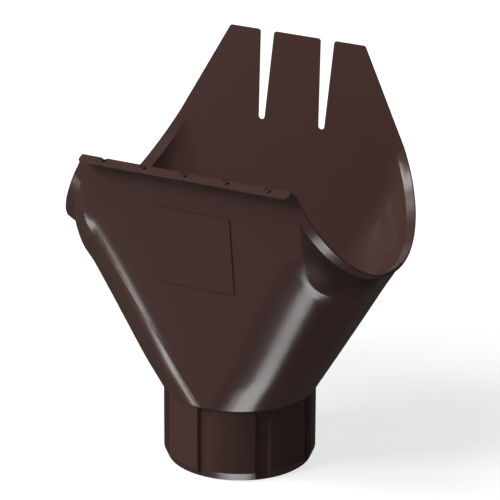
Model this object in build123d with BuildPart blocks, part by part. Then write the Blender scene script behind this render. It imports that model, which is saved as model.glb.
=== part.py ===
from build123d import *
import math
import os

os.makedirs("parts", exist_ok=True)

# Outlet for a half-round gutter: a pressed steel hopper in two halves on a crimped spigot.
# X runs along the gutter, -Y is the outer (front) side, +Z is up.
# The origin is the centre of the spigot's lower end.

# Sheet steel and the gaps that let one piece sit in another
sheet = 0.6
seat_gap = 0.05

# Spigot that enters the downpipe
spigot_radius = 43.0
spigot_insertion = 3.0
crimp_count = 8
crimp_depth = 2.2
crimp_floor_width = 6.6
crimp_mouth_width = 9.2
crimp_clearance = 0.8
bevel_height = 5.0
collar_flare = 0.35

# Hopper walls between the spigot and the gutter
neck_height = 43.4
neck_seat_allowance = 0.75
wall_slope = 0.1335
side_slope = 0.5694
neck_flat = 0.2
corner_overrun = 0.03
hopper_top_margin = 11.7
hopper_top_corner_radius = 32.0

# Gutter trough: the half-round the two open ends are shaped to
trough_radius = 63.5
trough_axis_height = 191.6
mouth_reach = 95.8
mouth_angle = 28.15
mouth_cheek_height = 80.0
mouth_cheek_spread = 0.2
band_width = 6.0
shoulder_spread_across = 0.17
shoulder_spread_down = 1.5
shoulder_run = 190.0

# Front lip, folded outward to hook over the gutter bead
fold_height = 188.8
fold_radius = 1.9
lip_length = 5.2
lip_drop_angle = 20.0
lip_half_length = 63.2
lip_corner_radius = 2.4
dart_count = 5
dart_pitch = 25.0
dart_width = 4.2
dart_depth = 1.5
dart_length = 3.3
dart_angle = 15.0
dart_rib_thickness = 0.78

# Pressed square panel on the front wall
panel_width = 48.4
panel_height = 45.6
panel_centre_height = 142.1
panel_relief = 0.5
panel_corner_radius = 1.0

# Back plate with its three fixing tabs
plate_top_height = 228.3
plate_corner_radius = 1.6
slot_offset = 18.85
slot_top_width = 8.6
slot_bottom_width = 3.9
slot_bottom_height = 177.4

# Side lap where the two halves join
lap_centre = 1.7
lap_half_width = 6.5
joggle_width = 1.0

spigot_top = neck_height + spigot_insertion
crimp_top = neck_height - crimp_clearance
hopper_top_height = plate_top_height + hopper_top_margin
dart_tilt = math.radians(dart_angle)
wall_stretch = math.hypot(1, wall_slope)
side_stretch = math.hypot(1, side_slope)
neck_radius = spigot_radius + seat_gap + neck_seat_allowance
wall_rise = hopper_top_height - neck_height
mouth_lean = math.radians(mouth_angle)
mouth_normal = Vector(math.cos(mouth_lean), 0, math.sin(mouth_lean))
rim_centre = Vector(
    mouth_reach - trough_radius * math.tan(mouth_lean),
    0,
    trough_axis_height,
)


def half_depth(height, inset):
    """Half the hopper's depth across the gutter at a height."""
    return neck_radius + wall_slope * (height - neck_height) - inset * wall_stretch


def wall_wedge(inset):
    """Everything between the planes of the front wall and the back plate."""
    with BuildPart() as form:
        with BuildSketch(Plane.YZ):
            with BuildLine():
                low = half_depth(neck_height, inset)
                high = half_depth(hopper_top_height, inset)
                Polyline(
                    (-low, neck_height),
                    (low, neck_height),
                    (high, hopper_top_height),
                    (-high, hopper_top_height),
                    close=True,
                )
            make_face()
        extrude(amount=2 * mouth_reach, both=True)
    return form.part


def hopper(inset):
    """Round at the neck, a rounded rectangle at the top, flat front and back."""
    neck_half_width = neck_radius - inset * side_stretch
    neck_half_depth = half_depth(neck_height, inset) + corner_overrun
    neck_corner = min(neck_half_width, neck_half_depth) - neck_flat
    with BuildPart() as form:
        with BuildSketch(Plane.XY.offset(neck_height)):
            RectangleRounded(2 * neck_half_width, 2 * neck_half_depth, neck_corner)
        with BuildSketch(Plane.XY.offset(hopper_top_height)):
            RectangleRounded(
                2 * (neck_half_width + side_slope * wall_rise),
                2 * (half_depth(hopper_top_height, inset) + corner_overrun),
                hopper_top_corner_radius - inset,
            )
        loft(ruled=True)
        add(wall_wedge(inset), mode=Mode.INTERSECT)
    return form.part


def mouth_plane(depth):
    """Plane of the right-hand open end, moved inward from its rim by depth."""
    return Plane(
        origin=rim_centre - mouth_normal * depth,
        x_dir=(0, 1, 0),
        z_dir=mouth_normal,
    )


def mouth_outline(across, down, cheek):
    """Half ellipse below, with straight cheeks spreading upward from its ends."""
    with BuildSketch() as outline:
        with BuildLine():
            EllipticalCenterArc((0, 0), across, down, start_angle=180, arc_size=180)
            Polyline(
                (across, 0),
                (across + mouth_cheek_spread * cheek, cheek),
                (-across - mouth_cheek_spread * cheek, cheek),
                (-across, 0),
            )
        make_face()
    return outline.sketch


def band_prism(inset, reach):
    """Straight band at the open end, square to the plane of its rim."""
    across = trough_radius - inset
    down = across / math.cos(mouth_lean)
    with BuildPart() as form:
        with BuildSketch(mouth_plane(band_width)):
            add(mouth_outline(across, down, mouth_cheek_height))
        extrude(amount=reach)
        add(wall_wedge(inset), mode=Mode.INTERSECT)
    return form.part


def shoulder(inset):
    """Cone that widens from the band into the hopper."""
    across = trough_radius - inset
    down = across / math.cos(mouth_lean)
    with BuildPart() as form:
        with BuildSketch(mouth_plane(band_width)):
            add(mouth_outline(across, down, mouth_cheek_height))
        with BuildSketch(mouth_plane(band_width + shoulder_run)):
            add(
                mouth_outline(
                    across + shoulder_spread_across * shoulder_run,
                    down + shoulder_spread_down * shoulder_run,
                    mouth_cheek_height + shoulder_run,
                )
            )
        loft(ruled=True)
    return form.part


def enclosed_form(inset, reach):
    """Solid inside the hopper wall's outer face, moved inward by inset."""
    cone = shoulder(inset)
    band = band_prism(inset, reach)
    with BuildPart() as form:
        add(hopper(inset))
        add(cone, mode=Mode.INTERSECT)
        add(mirror(cone, about=Plane.YZ, mode=Mode.PRIVATE), mode=Mode.INTERSECT)
        add(band)
        add(mirror(band, about=Plane.YZ, mode=Mode.PRIVATE))
    return form.part


def front_plane(height):
    """Plane of the front wall's outer face, its local Y running up the wall."""
    return Plane(
        origin=(0, -half_depth(height, 0), height),
        x_dir=(1, 0, 0),
        z_dir=(0, -1, -wall_slope),
    )


# Lip: the front wall's top folds over and out
fold_centre_y = -half_depth(fold_height, sheet / 2) - fold_radius
fold_centre_z = fold_height - sheet / 2 - fold_radius
lip_start_angle = 90 + lip_drop_angle

with BuildPart() as lip:
    with BuildSketch(Plane.YZ):
        with BuildLine():
            fold = CenterArc((fold_centre_y, fold_centre_z), fold_radius, 0, lip_start_angle)
            Line(
                fold @ 1,
                (fold @ 1) + Vector(-lip_length, 0).rotate(Axis.Z, lip_drop_angle),
            )
            Line(fold @ 0, (fold @ 0) - Vector(0, sheet))
        trace(line_width=sheet)
    extrude(amount=lip_half_length, both=True)
    lip_tip = lip.faces().sort_by(Axis.Y)[0]
    lip_corners = lip_tip.edges().filter_by(Axis.X, reverse=True)
    fillet(lip_corners, lip_corner_radius)

outer_form = enclosed_form(0, band_width)
wall_void = enclosed_form(sheet, 2 * band_width)
lap_face = enclosed_form(sheet + seat_gap, band_width)
lap_void = enclosed_form(2 * sheet + seat_gap, 2 * band_width)
above_front = fold_centre_z
slot_floor = slot_bottom_height + slot_bottom_width / 2
lap_front = lap_centre - lap_half_width
lap_back = lap_centre + lap_half_width
span = 8 * mouth_reach

# Back half: rear walls, back plate and the outer layer of the side laps
with BuildPart() as funnel_back:
    add(outer_form)
    add(wall_void, mode=Mode.SUBTRACT)
    with Locations((0, lap_front, 0)):
        Box(span, span, span, align=(Align.CENTER, Align.MAX, Align.CENTER), mode=Mode.SUBTRACT)
    with Locations((0, 0, plate_top_height)):
        Box(span, span, span, align=(Align.CENTER, Align.CENTER, Align.MIN), mode=Mode.SUBTRACT)
    with BuildSketch(Plane.XZ):
        with Locations((-slot_offset, slot_floor), (slot_offset, slot_floor)):
            Circle(slot_bottom_width / 2)
            Polygon(
                (-slot_bottom_width / 2, 0),
                (slot_bottom_width / 2, 0),
                (slot_top_width / 2, plate_top_height - slot_floor),
                (-slot_top_width / 2, plate_top_height - slot_floor),
                align=None,
            )
    extrude(amount=-span / 2, mode=Mode.SUBTRACT)
    tab_corners = (
        funnel_back.edges()
        .filter_by(lambda e: e.length < 2 * sheet)
        .filter_by(lambda e: abs(e.center().Z - plate_top_height) < sheet)
    )
    fillet(tab_corners, plate_corner_radius)
funnel_back.part.label = "funnel_back"

# Darts pressed down across the fold, each a notch above and a rib below
dart_plane = Plane(
    origin=(0, fold_centre_y, fold_height),
    x_dir=(1, 0, 0),
    z_dir=(0, -math.cos(dart_tilt), math.sin(dart_tilt)),
).offset(-fold_radius)
dart_places = GridLocations(dart_pitch, 1, dart_count, 1)
dart_run = dart_length + fold_radius

with BuildPart() as dart_notches:
    with BuildSketch(dart_plane.offset(-sheet)):
        with dart_places:
            Polygon(
                (-dart_width / 2, 0),
                (0, -dart_depth),
                (dart_width / 2, 0),
                (dart_width / 2, dart_depth),
                (-dart_width / 2, dart_depth),
                align=None,
            )
    extrude(amount=dart_run + 2 * sheet)

with BuildPart() as dart_ribs:
    with BuildSketch(dart_plane):
        with dart_places:
            Polygon(
                (-dart_width / 2, -sheet),
                (0, -dart_depth - dart_rib_thickness),
                (dart_width / 2, -sheet),
                (0, -sheet / 2),
                align=None,
            )
    extrude(amount=dart_run)

# Front half: front wall, lip, darts, panel and the inner layer of the side laps
with BuildPart() as front_shell:
    add(outer_form)
    add(wall_void, mode=Mode.SUBTRACT)
    with Locations((0, lap_front - seat_gap, 0)):
        Box(span, span, span, align=(Align.CENTER, Align.MIN, Align.CENTER), mode=Mode.SUBTRACT)

# The inner layer steps in over the joggle and stops just above the spigot
lap_foot = (Align.CENTER, Align.CENTER, Align.MIN)

with BuildPart() as joggle:
    add(outer_form)
    add(lap_void, mode=Mode.SUBTRACT)
    with Locations((0, lap_front - seat_gap - joggle_width / 2, spigot_top + seat_gap)):
        Box(span, joggle_width, span, align=lap_foot, mode=Mode.INTERSECT)

with BuildPart() as lap_layer:
    add(lap_face)
    add(lap_void, mode=Mode.SUBTRACT)
    with Locations((0, (lap_front - joggle_width + lap_back) / 2, spigot_top + seat_gap)):
        Box(
            span,
            lap_back - lap_front + joggle_width,
            span,
            align=lap_foot,
            mode=Mode.INTERSECT,
        )

with BuildPart() as funnel_front:
    add(front_shell.part)
    add(joggle.part)
    add(lap_layer.part)
    with Locations((0, 0, above_front)):
        Box(span, span, span, align=(Align.CENTER, Align.CENTER, Align.MIN), mode=Mode.SUBTRACT)
    add(lip.part)
    add(dart_ribs.part)
    add(dart_notches.part, mode=Mode.SUBTRACT)
    with BuildSketch(front_plane(panel_centre_height)):
        RectangleRounded(panel_width, panel_height, panel_corner_radius)
    extrude(amount=panel_relief)
    with BuildSketch(front_plane(panel_centre_height).offset(-sheet)):
        RectangleRounded(panel_width - 2 * sheet, panel_height - 2 * sheet, panel_corner_radius)
    extrude(amount=panel_relief, mode=Mode.SUBTRACT)
funnel_front.part.label = "funnel_front"


def spigot_form(inset):
    """Solid inside the spigot's outer face, moved inward by inset, from below its end."""
    start = -crimp_depth
    with BuildPart() as form:
        with BuildSketch(Plane.XY.offset(start)):
            Circle(spigot_radius)
            with PolarLocations(0, crimp_count, start_angle=-90):
                Polygon(
                    (spigot_radius, crimp_mouth_width / 2),
                    (spigot_radius - crimp_depth, crimp_floor_width / 2),
                    (spigot_radius - crimp_depth, -crimp_floor_width / 2),
                    (spigot_radius, -crimp_mouth_width / 2),
                    (spigot_radius + crimp_depth, -crimp_mouth_width / 2),
                    (spigot_radius + crimp_depth, crimp_mouth_width / 2),
                    align=None,
                    mode=Mode.SUBTRACT,
                )
            if inset > 0:
                offset(amount=-inset, kind=Kind.INTERSECTION, mode=Mode.REPLACE)
        extrude(amount=crimp_top - start)
        with BuildSketch(Plane.XZ):
            with BuildLine():
                Polyline(
                    (0, start),
                    (spigot_radius - crimp_depth - inset, start),
                    (spigot_radius - crimp_depth - inset, 0),
                    (spigot_radius - inset, bevel_height),
                    (spigot_radius - inset, spigot_top),
                    (0, spigot_top),
                    close=True,
                )
            make_face()
        revolve(axis=Axis.Z, mode=Mode.INTERSECT)
        with BuildSketch(Plane.XZ):
            with BuildLine():
                Polyline(
                    (0, crimp_top),
                    (spigot_radius - inset, crimp_top),
                    (spigot_radius - inset + collar_flare, spigot_top),
                    (0, spigot_top),
                    close=True,
                )
            make_face()
        revolve(axis=Axis.Z)
    return form.part


# Spigot: a tube whose crimps let it close up inside the downpipe
with BuildPart() as spigot:
    add(spigot_form(0))
    add(spigot_form(sheet), mode=Mode.SUBTRACT)
    Box(span, span, span, align=(Align.CENTER, Align.CENTER, Align.MAX), mode=Mode.SUBTRACT)
spigot.part.label = "spigot"

export_step(spigot.part, "parts/spigot.step")
export_step(funnel_back.part, "parts/funnel_back.step")
export_step(funnel_front.part, "parts/funnel_front.step")
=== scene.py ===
import math

import bmesh
import bpy
import numpy as np
from bpy.props import FloatProperty, FloatVectorProperty, PointerProperty
from mathutils import Matrix, Vector
from mathutils.kdtree import KDTree


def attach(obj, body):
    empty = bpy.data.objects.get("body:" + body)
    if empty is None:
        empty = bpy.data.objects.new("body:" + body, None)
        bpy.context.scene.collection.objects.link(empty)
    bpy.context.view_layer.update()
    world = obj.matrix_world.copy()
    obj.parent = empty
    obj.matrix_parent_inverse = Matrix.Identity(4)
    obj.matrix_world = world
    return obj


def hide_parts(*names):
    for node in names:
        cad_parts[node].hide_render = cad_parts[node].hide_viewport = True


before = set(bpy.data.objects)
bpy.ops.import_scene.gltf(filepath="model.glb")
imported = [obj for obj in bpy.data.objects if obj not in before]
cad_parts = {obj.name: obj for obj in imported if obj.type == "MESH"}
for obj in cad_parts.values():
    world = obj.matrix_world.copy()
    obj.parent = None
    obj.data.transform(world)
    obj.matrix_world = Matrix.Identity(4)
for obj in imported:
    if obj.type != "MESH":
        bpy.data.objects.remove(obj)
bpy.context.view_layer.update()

bl_info = {
    "name": "Gutter outlet",
    "version": (1, 0, 0),
    "blender": (4, 5, 0),
    "location": "View3D > Sidebar > Outlet",
    "description": "Softer pressing, paint and studio for a sheet steel gutter outlet",
    "category": "Object",
}

# Hopper of the CAD model: it widens upward from the neck to its top section
NECK_HEIGHT = 0.0434
NECK_RADIUS = 0.0438
SIDE_SLOPE = 0.5694
WALL_SLOPE = 0.1335
HOPPER_TOP_HEIGHT = 0.240
HOPPER_TOP_CORNER = 0.032

# Open ends: angle of their rims from vertical, distance of the rims' planes from the
# origin, width of the bands, and depth of a rim's cut edge
MOUTH_ANGLE = math.radians(28.15)
RIM_DISTANCE = 0.1449
BAND_WIDTH = 0.006
CUT_EDGE_WIDTH = 0.00045

# Heights between which the corners' radius grows, how softly that starts, how
# sharply it ends, and the distance behind the rims from which it holds in full
GROWTH_START = 0.058
GROWTH_HEIGHT = 0.123
GROWTH_SOFTNESS = 0.12
GROWTH_END_POWER = 4
SHOULDER_DEPTH = 0.025

# Half the width of the side lap, where both halves keep the CAD model's shape
LAP_REACH = 0.010

# Angles between facets that count as the crease where the shoulder meets the hopper
CREASE_LEAST = math.radians(8)
CREASE_MOST = math.radians(42)

# The crease lies at least this far behind a rim, out to the side and up
CREASE_RIM_DEPTH = 1.2 * BAND_WIDTH
CREASE_SIDE = 0.055
CREASE_HEIGHT = 0.1

# Towards a band the crease narrows to its least width, at this slope
CREASE_WIDTH_LEAST = 0.001
CREASE_WIDTH_SLOPE = 1.2

# Distances from the middle plane between which the soft crease turns sharp
FLANK_START = 0.034
FLANK_END = 0.047

# Places along an edge where the crease is read, how far to each side of it, and the
# length over which the readings are evened out
CREASE_SHARES = (0.125, 0.375, 0.625, 0.875)
SIDE_STEP = 0.002
CREASE_EVENING = 0.006

# Places along an edge where the corners' shift is tested, and the most rounds of
# dividing edges
TEST_SHARES = (0, 0.25, 0.5, 0.75, 1)
REFINE_ROUNDS = 8

# Distance at which vertices are welded, least reach that counts as in a corner,
# least shift that needs a finer mesh, and step over which the shift's slope is taken
WELD_DISTANCE = 2e-6
CORNER_LEAST = 1e-6
SHIFT_LEAST = 1e-5
SLOPE_STEP = 1e-4

# Attribute that carries the CAD model's normals through the changes, and the cosine
# to the crease's own normal above which a face, not a cut edge, turns with the crease
KEPT_NORMAL = "kept_normal"
FACING_LEAST = 0.7

# Enamel: scale and detail of its clouds, detail of its waves, change of roughness to
# each side, and roughness of cut edges and darts
CLOUD_SCALE = 22
CLOUD_DETAIL = 3
PEEL_DETAIL = 1
GLOSS_CHANGE = 0.03
DULL_ROUGHNESS = 0.8

# Darts across the lip's fold: count, spacing, half width, height and depth at which
# they begin, and how strongly their painted shade darkens them
DART_COUNT = 5
DART_PITCH = 0.025
DART_HALF_WIDTH = 0.0013
DART_FLOOR = 0.1862
DART_START = 0.0628
DART_SHADE = 0.75

# Floor: size, grey, glow seen near the part and away from it, and the distances
# between which it changes
FLOOR_SIZE = 6
FLOOR_GREY = 0.32
FLOOR_NEAR_GLOW = 0.72
FLOOR_FAR_GLOW = 1
FLOOR_GLOW_START = 0.08
FLOOR_GLOW_END = 0.55

# Strength of the white world as a lamp and as the camera sees it, distance of the
# lamps, and width of the camera's sensor in millimetres
WORLD_LIGHT = 0.04
WORLD_SEEN = 1
LAMP_DISTANCE = 1.6
SENSOR_WIDTH = 36


class PaintSettings(bpy.types.PropertyGroup):
    """Colour and gloss of the painted sheet."""

    colour: FloatVectorProperty(
        name="Paint colour",
        description="Colour of the baked enamel",
        subtype="COLOR",
        size=3,
        min=0,
        max=1,
        default=(0.058, 0.029, 0.025),
    )
    shade_colour: FloatVectorProperty(
        name="Thin paint colour",
        description="Colour where the enamel lies thinner",
        subtype="COLOR",
        size=3,
        min=0,
        max=1,
        default=(0.052, 0.026, 0.022),
    )
    # Also the colour of the painted shade in the darts across the lip's fold
    edge_and_dart_shade_colour: FloatVectorProperty(
        name="Cut edge and dart shade colour",
        description="Colour of the sheet's cut edges and of the painted shade in the darts",
        subtype="COLOR",
        size=3,
        min=0,
        max=1,
        default=(0.006, 0.004, 0.004),
    )
    roughness: FloatProperty(
        name="Roughness",
        description="Roughness of the enamel's surface",
        subtype="FACTOR",
        min=0,
        max=1,
        default=0.22,
    )
    peel_size: FloatProperty(
        name="Peel size",
        description="Width of the small waves in the enamel",
        subtype="DISTANCE",
        unit="LENGTH",
        default=0.0016,
    )
    peel_depth: FloatProperty(
        name="Peel depth",
        description="Height of the small waves in the enamel",
        subtype="DISTANCE",
        unit="LENGTH",
        default=0.000004,
    )


class FormSettings(bpy.types.PropertyGroup):
    """Rounder corners and softer crease of the pressed hopper."""

    front_corner_growth: FloatProperty(
        name="Front corner growth",
        description="How much the front corners' radius grows on the way up",
        subtype="DISTANCE",
        unit="LENGTH",
        default=0.0125,
    )
    back_corner_growth: FloatProperty(
        name="Back corner growth",
        description="How much the back corners' radius grows on the way up",
        subtype="DISTANCE",
        unit="LENGTH",
        default=0.009,
    )
    crease_width: FloatProperty(
        name="Crease width",
        description="Reach of the soft crease below the open ends, to each side",
        subtype="DISTANCE",
        unit="LENGTH",
        default=0.013,
    )
    front_flank_width: FloatProperty(
        name="Front flank crease",
        description="Reach of the crease beside the front wall, where it is sharp",
        subtype="DISTANCE",
        unit="LENGTH",
        default=0.0015,
    )
    back_flank_width: FloatProperty(
        name="Back flank crease",
        description="Reach of the crease beside the back plate",
        subtype="DISTANCE",
        unit="LENGTH",
        default=0.012,
    )
    mesh_step: FloatProperty(
        name="Mesh step",
        description="Longest edge of the mesh near the crease",
        subtype="DISTANCE",
        unit="LENGTH",
        default=0.0025,
    )


class StudioSettings(bpy.types.PropertyGroup):
    """Place, turn and lens of the camera."""

    camera_azimuth: FloatProperty(
        name="Camera azimuth",
        description="Angle of the camera round the part, from the front towards +X",
        subtype="ANGLE",
        unit="ROTATION",
        default=math.radians(27.19),
    )
    camera_elevation: FloatProperty(
        name="Camera elevation",
        description="Angle of the camera above the level plane",
        subtype="ANGLE",
        unit="ROTATION",
        default=math.radians(21.50),
    )
    camera_distance: FloatProperty(
        name="Camera distance",
        description="Distance from the camera to its target",
        subtype="DISTANCE",
        unit="LENGTH",
        default=1.8405,
    )
    camera_roll: FloatProperty(
        name="Camera roll",
        description="Turn of the camera about its own line of sight",
        subtype="ANGLE",
        unit="ROTATION",
        default=math.radians(-0.337),
    )
    camera_lens: FloatProperty(
        name="Lens",
        description="Focal length in millimetres on a 36 mm sensor",
        default=238.3,
    )
    camera_target: FloatVectorProperty(
        name="Camera target",
        description="Point that the camera looks at",
        subtype="TRANSLATION",
        unit="LENGTH",
        size=3,
        default=(0.00463, 0.00238, 0.12228),
    )


def ramp(value, low, high):
    """Smooth step from 0 at low to 1 at high."""
    share = np.clip((value - low) / (high - low), 0, 1)
    return share * share * (3 - 2 * share)


def unit(vectors):
    """Vectors of length 1."""
    return vectors / np.linalg.norm(vectors, axis=-1, keepdims=True)


def rim_depth(points):
    """Distance of points behind the plane of the nearer open end's rim."""
    across = np.abs(points[:, 0]) * math.cos(MOUTH_ANGLE)
    return RIM_DISTANCE - (across + points[:, 2] * math.sin(MOUTH_ANGLE))


def corner_shift(points, growth):
    """Moves that round the hopper's corners more, less and less down to the neck."""
    rise = points[:, 2] - NECK_HEIGHT
    half_width = NECK_RADIUS + SIDE_SLOPE * rise
    half_depth = NECK_RADIUS + WALL_SLOPE * rise
    share = rise / (HOPPER_TOP_HEIGHT - NECK_HEIGHT)
    radius = NECK_RADIUS + (HOPPER_TOP_CORNER - NECK_RADIUS) * share
    climb = (points[:, 2] - GROWTH_START) / (GROWTH_HEIGHT - GROWTH_START)
    climb = np.maximum(climb, 0)
    climb = climb / (1 + climb**GROWTH_END_POWER) ** (1 / GROWTH_END_POWER)
    extra = growth * climb**2 / (climb + GROWTH_SOFTNESS)
    extra = extra * ramp(rim_depth(points), BAND_WIDTH, SHOULDER_DEPTH)
    extra = extra * ramp(np.abs(points[:, 1]), LAP_REACH, 2 * LAP_REACH)
    wide = radius + extra
    across = np.abs(points[:, 0]) - (half_width - wide)
    along = np.abs(points[:, 1]) - (half_depth - wide)
    in_corner = (across > CORNER_LEAST) & (along > CORNER_LEAST) & (extra > 0)
    across = np.where(in_corner, across, 1)
    along = np.where(in_corner, along, 1)
    reach = np.hypot(across, along)
    across, along = across / reach, along / reach
    # Distance from the new centre to the old side wall, front wall or corner arc
    to_side = wide / across
    to_front = wide / along
    lean = extra * (across + along)
    to_arc = lean + np.sqrt(np.maximum(lean**2 - 2 * extra**2 + radius**2, 0))
    old = np.where(to_side * along <= extra, to_side, to_arc)
    old = np.where(to_front * across <= extra, to_front, old)
    move = np.where(in_corner, wide - old, 0)
    shift = np.zeros_like(points)
    shift[:, 0] = np.sign(points[:, 0]) * move * across
    shift[:, 1] = np.sign(points[:, 1]) * move * along
    return shift


def corner_turn(points, growth):
    """Matrices that turn the normals as the corners' shift turns the surface."""
    slopes = []
    for step in np.eye(3) * SLOPE_STEP:
        ahead = corner_shift(points + step, growth)
        behind = corner_shift(points - step, growth)
        slopes.append((ahead - behind) / (2 * SLOPE_STEP))
    return np.linalg.inv(np.eye(3) + np.stack(slopes, axis=2)).transpose(0, 2, 1)


def crease_faces(edge, middle):
    """Steps to each side of an edge, with the faces' normals, the rim's side first."""
    run = unit(np.array(edge.verts[1].co) - np.array(edge.verts[0].co))
    faces = []
    for face in edge.link_faces:
        out = np.array(face.calc_center_median()) - middle
        step = SIDE_STEP * unit(out - out @ run * run)
        faces.append((step, np.array(face.normal)))
    return sorted(faces, key=lambda face: rim_depth((middle + face[0])[None])[0])


def read_crease(mesh, growth, flank_width, form):
    """Places on the shoulder's outer crease, with turn, width and two face normals."""
    places, widths, sides, normals = [], [], [], []
    for edge in mesh.edges:
        if len(edge.link_faces) != 2:
            continue
        if not CREASE_LEAST < edge.calc_face_angle_signed() < CREASE_MOST:
            continue
        ends = np.array([vert.co for vert in edge.verts])
        middle = ends.mean(axis=0)
        depth = rim_depth(middle[None])[0]
        if depth < CREASE_RIM_DEPTH or abs(middle[0]) < CREASE_SIDE:
            continue
        if middle[2] < CREASE_HEIGHT:
            continue
        faces = crease_faces(edge, middle)
        flank = ramp(abs(middle[1]), FLANK_START, FLANK_END)
        width = form.crease_width + (flank_width - form.crease_width) * flank
        band_width = CREASE_WIDTH_SLOPE * (depth - BAND_WIDTH) + CREASE_WIDTH_LEAST
        for share in CREASE_SHARES:
            place = ends[0] + (ends[1] - ends[0]) * share
            places.append(place)
            widths.append(min(width, band_width))
            sides.append([place + step for step, _ in faces])
            normals.append([normal for _, normal in faces])
    sides, normals, widths = np.array(sides), np.array(normals), np.array(widths)
    for side in (0, 1):
        turned = corner_turn(sides[:, side], growth) @ normals[:, side, :, None]
        normals[:, side] = unit(turned[..., 0])
        sides[:, side] += corner_shift(sides[:, side], growth)
    spread = normals[:, 1] - normals[:, 0]
    bend = np.sign((spread * (sides[:, 1] - sides[:, 0])).sum(axis=1))
    turns = bend * 2 * np.arcsin(np.linalg.norm(spread, axis=1) / 2)

    tree = KDTree(len(places))
    for index, place in enumerate(places):
        tree.insert(place, index)
    tree.balance()
    near = [
        [index for _, index, _ in tree.find_range(place, CREASE_EVENING)]
        for place in places
    ]
    turns = np.array([turns[group].mean() for group in near])
    widths = np.array([widths[group].mean() for group in near])
    normals = np.array([unit(normals[group].mean(axis=0)) for group in near])
    return tree, turns, widths, normals


def crease_effect(point, crease, reach):
    """Push of the soft crease at a point, its normal, its change of normal, closeness."""
    tree, turns, widths, normals = crease
    gap = tree.find(point)[2]
    if gap >= reach:
        return np.zeros(3), np.zeros(3), np.zeros(3), 0
    found = tree.find_range(point, gap + CREASE_EVENING)
    group = [index for _, index, _ in found]
    excess = np.array([distance for _, _, distance in found]) - gap
    weights = (1 - excess / CREASE_EVENING) ** 2
    weights /= weights.sum()
    upper, lower = unit(np.tensordot(weights, normals[group], 1))
    middle = unit(upper + lower)
    width = weights @ widths[group]
    closeness = max(0.0, 1 - gap / width)
    # Parabola that leaves both faces at the crease's width
    push = middle * (weights @ turns[group]) * width / 4 * closeness**2
    return push, middle, lower - upper, closeness


def refine(mesh, growth, tree, form):
    """Divides long edges where the shape is to change, half as finely in corners."""
    for _ in range(REFINE_ROUNDS):
        ends = np.array([[vert.co for vert in edge.verts] for edge in mesh.edges])
        lengths = np.linalg.norm(ends[:, 1] - ends[:, 0], axis=1)
        moves = np.zeros(len(lengths))
        for share in TEST_SHARES:
            points = ends[:, 0] + (ends[:, 1] - ends[:, 0]) * share
            shift = np.linalg.norm(corner_shift(points, growth), axis=1)
            moves = np.maximum(moves, shift)
        chosen = []
        for edge, pair, length, move in zip(mesh.edges, ends, lengths, moves):
            if length < form.mesh_step:
                continue
            near = tree.find(pair.mean(axis=0))[2] < form.crease_width + length / 2
            if near or (move > SHIFT_LEAST and length > 2 * form.mesh_step):
                chosen.append(edge)
        if not chosen:
            break
        bmesh.ops.subdivide_edges(mesh, edges=chosen, cuts=1)
        divided = [face for face in mesh.faces if len(face.verts) > 3]
        bmesh.ops.triangulate(mesh, faces=divided)


def press(mesh, growth, flank_width, form):
    """Rounds the hopper's corners and softens the shoulder's crease, normals too."""
    crease = read_crease(mesh, growth, flank_width, form)
    refine(mesh, growth, crease[0], form)
    points = np.array([vert.co for vert in mesh.verts])
    moves = corner_shift(points, growth)
    turns = corner_turn(points, growth)
    layer = mesh.loops.layers.float_vector[KEPT_NORMAL]
    for vert, point, move, turn in zip(mesh.verts, points, moves, turns):
        push, middle, change, closeness = crease_effect(
            point, crease, form.crease_width
        )
        for loop in vert.link_loops:
            normal = turn @ np.array(loop[layer])
            if abs(normal @ middle) > FACING_LEAST:
                side = math.copysign(1, normal @ middle)
                lean = -change if side * normal @ change > 0 else change
                normal = normal + side * lean * closeness / 2
            loop[layer] = unit(normal)
        vert.co = point + (move - push)


def keep_normals(data):
    """Stores a mesh's corner normals in an attribute that divided faces inherit."""
    normals = np.zeros(len(data.loops) * 3, np.float32)
    data.corner_normals.foreach_get("vector", normals)
    kept = data.attributes.new(KEPT_NORMAL, "FLOAT_VECTOR", "CORNER")
    kept.data.foreach_set("vector", normals)


def restore_normals(data):
    """Gives a mesh the corner normals that were kept, and drops their attribute."""
    for polygon in data.polygons:
        polygon.use_smooth = True
    kept = data.attributes[KEPT_NORMAL]
    normals = np.zeros(len(data.loops) * 3, np.float32)
    kept.data.foreach_get("vector", normals)
    data.attributes.remove(kept)
    data.normals_split_custom_set(normals.reshape(-1, 3))


def pressed_half(name, node_name, growth, flank_width, form):
    """Copy of a CAD half with rounder corners and the shoulder's crease made soft."""
    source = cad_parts[node_name]
    data = source.data.copy()
    data.name = name
    keep_normals(data)
    mesh = bmesh.new()
    mesh.from_mesh(data)
    bmesh.ops.remove_doubles(mesh, verts=mesh.verts, dist=WELD_DISTANCE)
    mesh.normal_update()
    press(mesh, growth, flank_width, form)
    mesh.to_mesh(data)
    mesh.free()
    restore_normals(data)
    half = bpy.data.objects.new(name, data)
    bpy.context.scene.collection.objects.link(half)
    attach(half, "root")
    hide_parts(node_name)
    return half


def feed(tree, socket, value):
    """Links an input socket to an output, or sets it to a plain value."""
    if isinstance(value, bpy.types.NodeSocket):
        tree.links.new(value, socket)
    else:
        socket.default_value = value


def math_node(tree, operation, *values):
    """Output of a new math node on the given sockets or numbers."""
    node = tree.nodes.new("ShaderNodeMath")
    node.operation = operation
    for socket, value in zip(node.inputs, values):
        feed(tree, socket, value)
    return node.outputs[0]


def mix_node(tree, kind, factor, first, second):
    """Output of a new mix of two sockets or values of the given data type."""
    node = tree.nodes.new("ShaderNodeMix")
    node.data_type = kind
    feed(tree, node.inputs["Factor"], factor)
    feed(tree, node.inputs["A"], first)
    feed(tree, node.inputs["B"], second)
    return node.outputs["Result"]


def object_place(tree):
    """Output with the shaded place in the CAD frame."""
    return tree.nodes.new("ShaderNodeTexCoord").outputs["Object"]


def split_place(tree):
    """Outputs with the shaded place's X, Y and Z in the CAD frame."""
    parts = tree.nodes.new("ShaderNodeSeparateXYZ")
    tree.links.new(object_place(tree), parts.inputs[0])
    return parts.outputs


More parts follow.
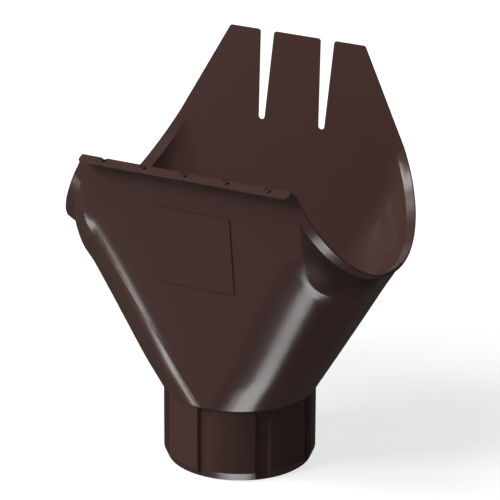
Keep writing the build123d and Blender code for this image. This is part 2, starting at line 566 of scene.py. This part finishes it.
def new_group(name, inputs, outputs):
    """Shader node group with the given sockets, as (name, socket type) pairs."""
    group = bpy.data.node_groups.new(name, "ShaderNodeTree")
    for label, kind in inputs:
        group.interface.new_socket(name=label, in_out="INPUT", socket_type=kind)
    for label, kind in outputs:
        group.interface.new_socket(name=label, in_out="OUTPUT", socket_type=kind)
    return group


def enamel_group():
    """Baked enamel: clouds of colour and gloss, small waves, and dark cut edges."""
    group = new_group(
        "enamel",
        [
            ("Colour", "NodeSocketColor"),
            ("Thin Colour", "NodeSocketColor"),
            ("Edge Colour", "NodeSocketColor"),
            ("Roughness", "NodeSocketFloat"),
            ("Peel Scale", "NodeSocketFloat"),
        ],
        [
            ("Colour", "NodeSocketColor"),
            ("Roughness", "NodeSocketFloat"),
            ("Height", "NodeSocketFloat"),
        ],
    )
    nodes, links = group.nodes, group.links
    inside = nodes.new("NodeGroupInput").outputs
    outside = nodes.new("NodeGroupOutput").inputs
    place = object_place(group)

    cloud = nodes.new("ShaderNodeTexNoise")
    cloud.inputs["Scale"].default_value = CLOUD_SCALE
    cloud.inputs["Detail"].default_value = CLOUD_DETAIL
    links.new(place, cloud.inputs["Vector"])
    clouds = cloud.outputs["Fac"]
    tint = mix_node(group, "RGBA", clouds, inside["Colour"], inside["Thin Colour"])
    gloss = nodes.new("ShaderNodeMapRange")
    gloss.inputs["To Min"].default_value = -GLOSS_CHANGE
    gloss.inputs["To Max"].default_value = GLOSS_CHANGE
    links.new(clouds, gloss.inputs["Value"])
    rough = math_node(group, "ADD", gloss.outputs["Result"], inside["Roughness"])

    peel = nodes.new("ShaderNodeTexNoise")
    peel.inputs["Detail"].default_value = PEEL_DETAIL
    links.new(place, peel.inputs["Vector"])
    links.new(inside["Peel Scale"], peel.inputs["Scale"])
    links.new(peel.outputs["Fac"], outside["Height"])

    # Cut edges of the open ends lie in the slanted planes of their rims
    sideways, _, upward = split_place(group)
    sideways = math_node(group, "ABSOLUTE", sideways)
    across = math_node(group, "MULTIPLY", sideways, math.cos(MOUTH_ANGLE))
    raised = math_node(group, "MULTIPLY", upward, math.sin(MOUTH_ANGLE))
    along = math_node(group, "ADD", across, raised)
    cut = math_node(group, "GREATER_THAN", along, RIM_DISTANCE - CUT_EDGE_WIDTH)
    colour = mix_node(group, "RGBA", cut, tint, inside["Edge Colour"])
    dull = mix_node(group, "FLOAT", cut, rough, DULL_ROUGHNESS)
    links.new(colour, outside["Colour"])
    links.new(dull, outside["Roughness"])
    return group


def painted_steel(name, settings):
    """Semi-gloss enamel on sheet steel."""
    material = bpy.data.materials.new(name)
    material.use_nodes = True
    nodes, links = material.node_tree.nodes, material.node_tree.links
    shader = nodes["Principled BSDF"]
    enamel = nodes.new("ShaderNodeGroup")
    enamel.node_tree = bpy.data.node_groups.get("enamel") or enamel_group()
    enamel.inputs["Colour"].default_value = (*settings.colour, 1)
    enamel.inputs["Thin Colour"].default_value = (*settings.shade_colour, 1)
    enamel.inputs["Edge Colour"].default_value = (*settings.edge_and_dart_shade_colour, 1)
    enamel.inputs["Roughness"].default_value = settings.roughness
    enamel.inputs["Peel Scale"].default_value = 1 / settings.peel_size
    bump = nodes.new("ShaderNodeBump")
    bump.inputs["Distance"].default_value = settings.peel_depth
    links.new(enamel.outputs["Height"], bump.inputs["Height"])
    links.new(enamel.outputs["Colour"], shader.inputs["Base Color"])
    links.new(enamel.outputs["Roughness"], shader.inputs["Roughness"])
    links.new(bump.outputs["Normal"], shader.inputs["Normal"])
    return material


def shade_darts(material, settings):
    """Paints shade into the darts across the lip's fold, which lie in their own shade."""
    tree = material.node_tree
    sideways, inward, upward = split_place(tree)
    offset = math_node(tree, "WRAP", sideways, DART_PITCH / 2, -DART_PITCH / 2)
    offset = math_node(tree, "ABSOLUTE", offset)
    sideways = math_node(tree, "ABSOLUTE", sideways)
    # Painted shade: mask of the five darts, scaled by how much their shade darkens them
    painted_dart_shade = DART_SHADE
    for operation, socket, limit in (
        ("LESS_THAN", offset, DART_HALF_WIDTH),
        ("LESS_THAN", sideways, DART_COUNT / 2 * DART_PITCH),
        ("GREATER_THAN", upward, DART_FLOOR),
        ("LESS_THAN", inward, -DART_START),
    ):
        test = math_node(tree, operation, socket, limit)
        painted_dart_shade = math_node(tree, "MULTIPLY", painted_dart_shade, test)
    shader = tree.nodes["Principled BSDF"]
    # Painted shade: the darts' colour is mixed towards the dark edge colour, their
    # roughness dulled
    for name, kind, value in (
        ("Base Color", "RGBA", (*settings.edge_and_dart_shade_colour, 1)),
        ("Roughness", "FLOAT", DULL_ROUGHNESS),
    ):
        old = shader.inputs[name].links[0].from_socket
        shaded = mix_node(tree, kind, painted_dart_shade, old, value)
        tree.links.new(shaded, shader.inputs[name])


def paint(piece, name, settings):
    """Gives a piece its painted steel."""
    material = painted_steel(name, settings)
    for place in piece.material_slots:
        place.material = material
    return material


class OUTLET_OT_press_front(bpy.types.Operator):
    """Press and paint the front half of the funnel"""

    bl_idname = "outlet.press_front"
    bl_label = "Press front half"

    def execute(self, context):
        form = context.scene.outlet_form
        growth, flank_width = form.front_corner_growth, form.front_flank_width
        half = pressed_half("pressed_front", "funnel_front", growth, flank_width, form)
        material = paint(half, "front_enamel", context.scene.outlet_paint)
        # Painted shade in the darts across the lip's fold
        shade_darts(material, context.scene.outlet_paint)
        return {"FINISHED"}


class OUTLET_OT_press_back(bpy.types.Operator):
    """Press and paint the back half of the funnel"""

    bl_idname = "outlet.press_back"
    bl_label = "Press back half"

    def execute(self, context):
        form = context.scene.outlet_form
        growth, flank_width = form.back_corner_growth, form.back_flank_width
        half = pressed_half("pressed_back", "funnel_back", growth, flank_width, form)
        paint(half, "back_enamel", context.scene.outlet_paint)
        return {"FINISHED"}


class OUTLET_OT_paint_spigot(bpy.types.Operator):
    """Paint the spigot"""

    bl_idname = "outlet.paint_spigot"
    bl_label = "Paint spigot"

    def execute(self, context):
        paint(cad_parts["spigot"], "spigot_enamel", context.scene.outlet_paint)
        return {"FINISHED"}


def studio_direction(azimuth, elevation):
    """Direction from the part, with azimuth from the front (-Y) towards +X."""
    return Vector(
        (
            math.sin(azimuth) * math.cos(elevation),
            -math.cos(azimuth) * math.cos(elevation),
            math.sin(elevation),
        )
    )


def white_world():
    """World that lights the part a little and looks plain white to the camera."""
    world = bpy.data.worlds.new("studio")
    world.use_nodes = True
    nodes, links = world.node_tree.nodes, world.node_tree.links
    choice = nodes.new("ShaderNodeMixShader")
    rays = nodes.new("ShaderNodeLightPath")
    links.new(rays.outputs["Is Camera Ray"], choice.inputs[0])
    seen = nodes.new("ShaderNodeBackground")
    for socket, shader, strength in (
        (choice.inputs[1], nodes["Background"], WORLD_LIGHT),
        (choice.inputs[2], seen, WORLD_SEEN),
    ):
        shader.inputs["Color"].default_value = (1, 1, 1, 1)
        shader.inputs["Strength"].default_value = strength
        links.new(shader.outputs[0], socket)
    links.new(choice.outputs[0], nodes["World Output"].inputs["Surface"])
    return world


def floor_material():
    """White floor that keeps the part's soft shadow and is plain white away from it."""
    material = bpy.data.materials.new("floor_white")
    material.use_nodes = True
    tree = material.node_tree
    nodes, links = tree.nodes, tree.links
    nodes.clear()
    output = nodes.new("ShaderNodeOutputMaterial")
    diffuse = nodes.new("ShaderNodeBsdfDiffuse")
    diffuse.inputs["Color"].default_value = (FLOOR_GREY, FLOOR_GREY, FLOOR_GREY, 1)
    distance = nodes.new("ShaderNodeVectorMath")
    distance.operation = "LENGTH"
    links.new(object_place(tree), distance.inputs[0])
    rise = nodes.new("ShaderNodeMapRange")
    rise.interpolation_type = "SMOOTHSTEP"
    rise.inputs["From Min"].default_value = FLOOR_GLOW_START
    rise.inputs["From Max"].default_value = FLOOR_GLOW_END
    rise.inputs["To Min"].default_value = FLOOR_NEAR_GLOW
    rise.inputs["To Max"].default_value = FLOOR_FAR_GLOW
    links.new(distance.outputs["Value"], rise.inputs["Value"])
    seen = nodes.new("ShaderNodeLightPath").outputs["Is Camera Ray"]
    strength = math_node(tree, "MULTIPLY", rise.outputs["Result"], seen)
    glow = nodes.new("ShaderNodeEmission")
    links.new(strength, glow.inputs["Strength"])
    both = nodes.new("ShaderNodeAddShader")
    links.new(diffuse.outputs[0], both.inputs[0])
    links.new(glow.outputs[0], both.inputs[1])
    links.new(both.outputs[0], output.inputs["Surface"])
    return material


def soft_box(name, azimuth, elevation, size, power, aim):
    """Round lamp that faces the aim point, with its angles in degrees."""
    data = bpy.data.lights.new(name, "AREA")
    data.shape = "DISK"
    data.size = size
    data.energy = power
    lamp = bpy.data.objects.new(name, data)
    lamp.visible_camera = False
    bpy.context.scene.collection.objects.link(lamp)
    direction = studio_direction(math.radians(azimuth), math.radians(elevation))
    lamp.location = Vector(aim) + direction * LAMP_DISTANCE
    lamp.rotation_euler = direction.to_track_quat("Z", "Y").to_euler()


def add_camera(studio):
    """Camera that looks at its target from the studio's direction and distance."""
    data = bpy.data.cameras.new("camera")
    data.sensor_width = SENSOR_WIDTH
    data.lens = studio.camera_lens
    camera = bpy.data.objects.new("camera", data)
    bpy.context.scene.collection.objects.link(camera)
    direction = studio_direction(studio.camera_azimuth, studio.camera_elevation)
    place = Vector(studio.camera_target) + direction * studio.camera_distance
    turn = direction.to_track_quat("Z", "Y").to_matrix().to_4x4()
    roll = Matrix.Rotation(-studio.camera_roll, 4, "Z")
    camera.matrix_world = Matrix.Translation(place) @ turn @ roll
    return camera


class OUTLET_OT_set_stage(bpy.types.Operator):
    """Set the floor, the lamps and the camera"""

    bl_idname = "outlet.set_stage"
    bl_label = "Set the stage"

    def execute(self, context):
        scene = context.scene
        scene.view_settings.view_transform = "Standard"
        scene.world = white_world()

        bpy.ops.mesh.primitive_plane_add(size=FLOOR_SIZE, location=(0, 0, 0))
        floor = context.object
        floor.name = "floor"
        floor.data.materials.append(floor_material())
        floor.visible_glossy = False
        floor.visible_shadow = False

        aim = scene.outlet_studio.camera_target
        soft_box("key_box", -30, 40, 0.45, 15.5, aim)
        soft_box("left_box", -60, 40, 0.45, 11.5, aim)
        soft_box("top_box", -30, 68, 0.45, 6.6, aim)
        soft_box("low_side_box", -54, 17, 0.4, 5.0, aim)
        soft_box("under_right_box", 30, -68, 0.6, 5.6, aim)
        soft_box("under_front_box", -8, -66, 0.45, 2.6, aim)
        soft_box("under_left_box", -52, -41, 0.2, 1.3, aim)
        soft_box("rear_box", 150, 35, 0.6, 5.0, aim)
        scene.camera = add_camera(scene.outlet_studio)
        return {"FINISHED"}


class OUTLET_PT_panel(bpy.types.Panel):
    """Lists the outlet's operators and settings"""

    bl_label = "Gutter outlet"
    bl_idname = "OUTLET_PT_panel"
    bl_space_type = "VIEW_3D"
    bl_region_type = "UI"
    bl_category = "Outlet"

    def draw(self, context):
        layout = self.layout
        for operator in OPERATORS:
            layout.operator(operator.bl_idname)
        scene = context.scene
        for settings in (scene.outlet_form, scene.outlet_paint, scene.outlet_studio):
            box = layout.box()
            for name in settings.__annotations__:
                box.prop(settings, name)


OPERATORS = (
    OUTLET_OT_press_front,
    OUTLET_OT_press_back,
    OUTLET_OT_paint_spigot,
    OUTLET_OT_set_stage,
)
CLASSES = (FormSettings, PaintSettings, StudioSettings, *OPERATORS, OUTLET_PT_panel)


def register():
    for entry in CLASSES:
        bpy.utils.register_class(entry)
    bpy.types.Scene.outlet_form = PointerProperty(type=FormSettings)
    bpy.types.Scene.outlet_paint = PointerProperty(type=PaintSettings)
    bpy.types.Scene.outlet_studio = PointerProperty(type=StudioSettings)


def unregister():
    del bpy.types.Scene.outlet_studio
    del bpy.types.Scene.outlet_paint
    del bpy.types.Scene.outlet_form
    for entry in reversed(CLASSES):
        bpy.utils.unregister_class(entry)


def main():
    register()
    bpy.ops.outlet.press_front()
    bpy.ops.outlet.press_back()
    bpy.ops.outlet.paint_spigot()
    bpy.ops.outlet.set_stage()


if __name__ == "__main__":
    main()
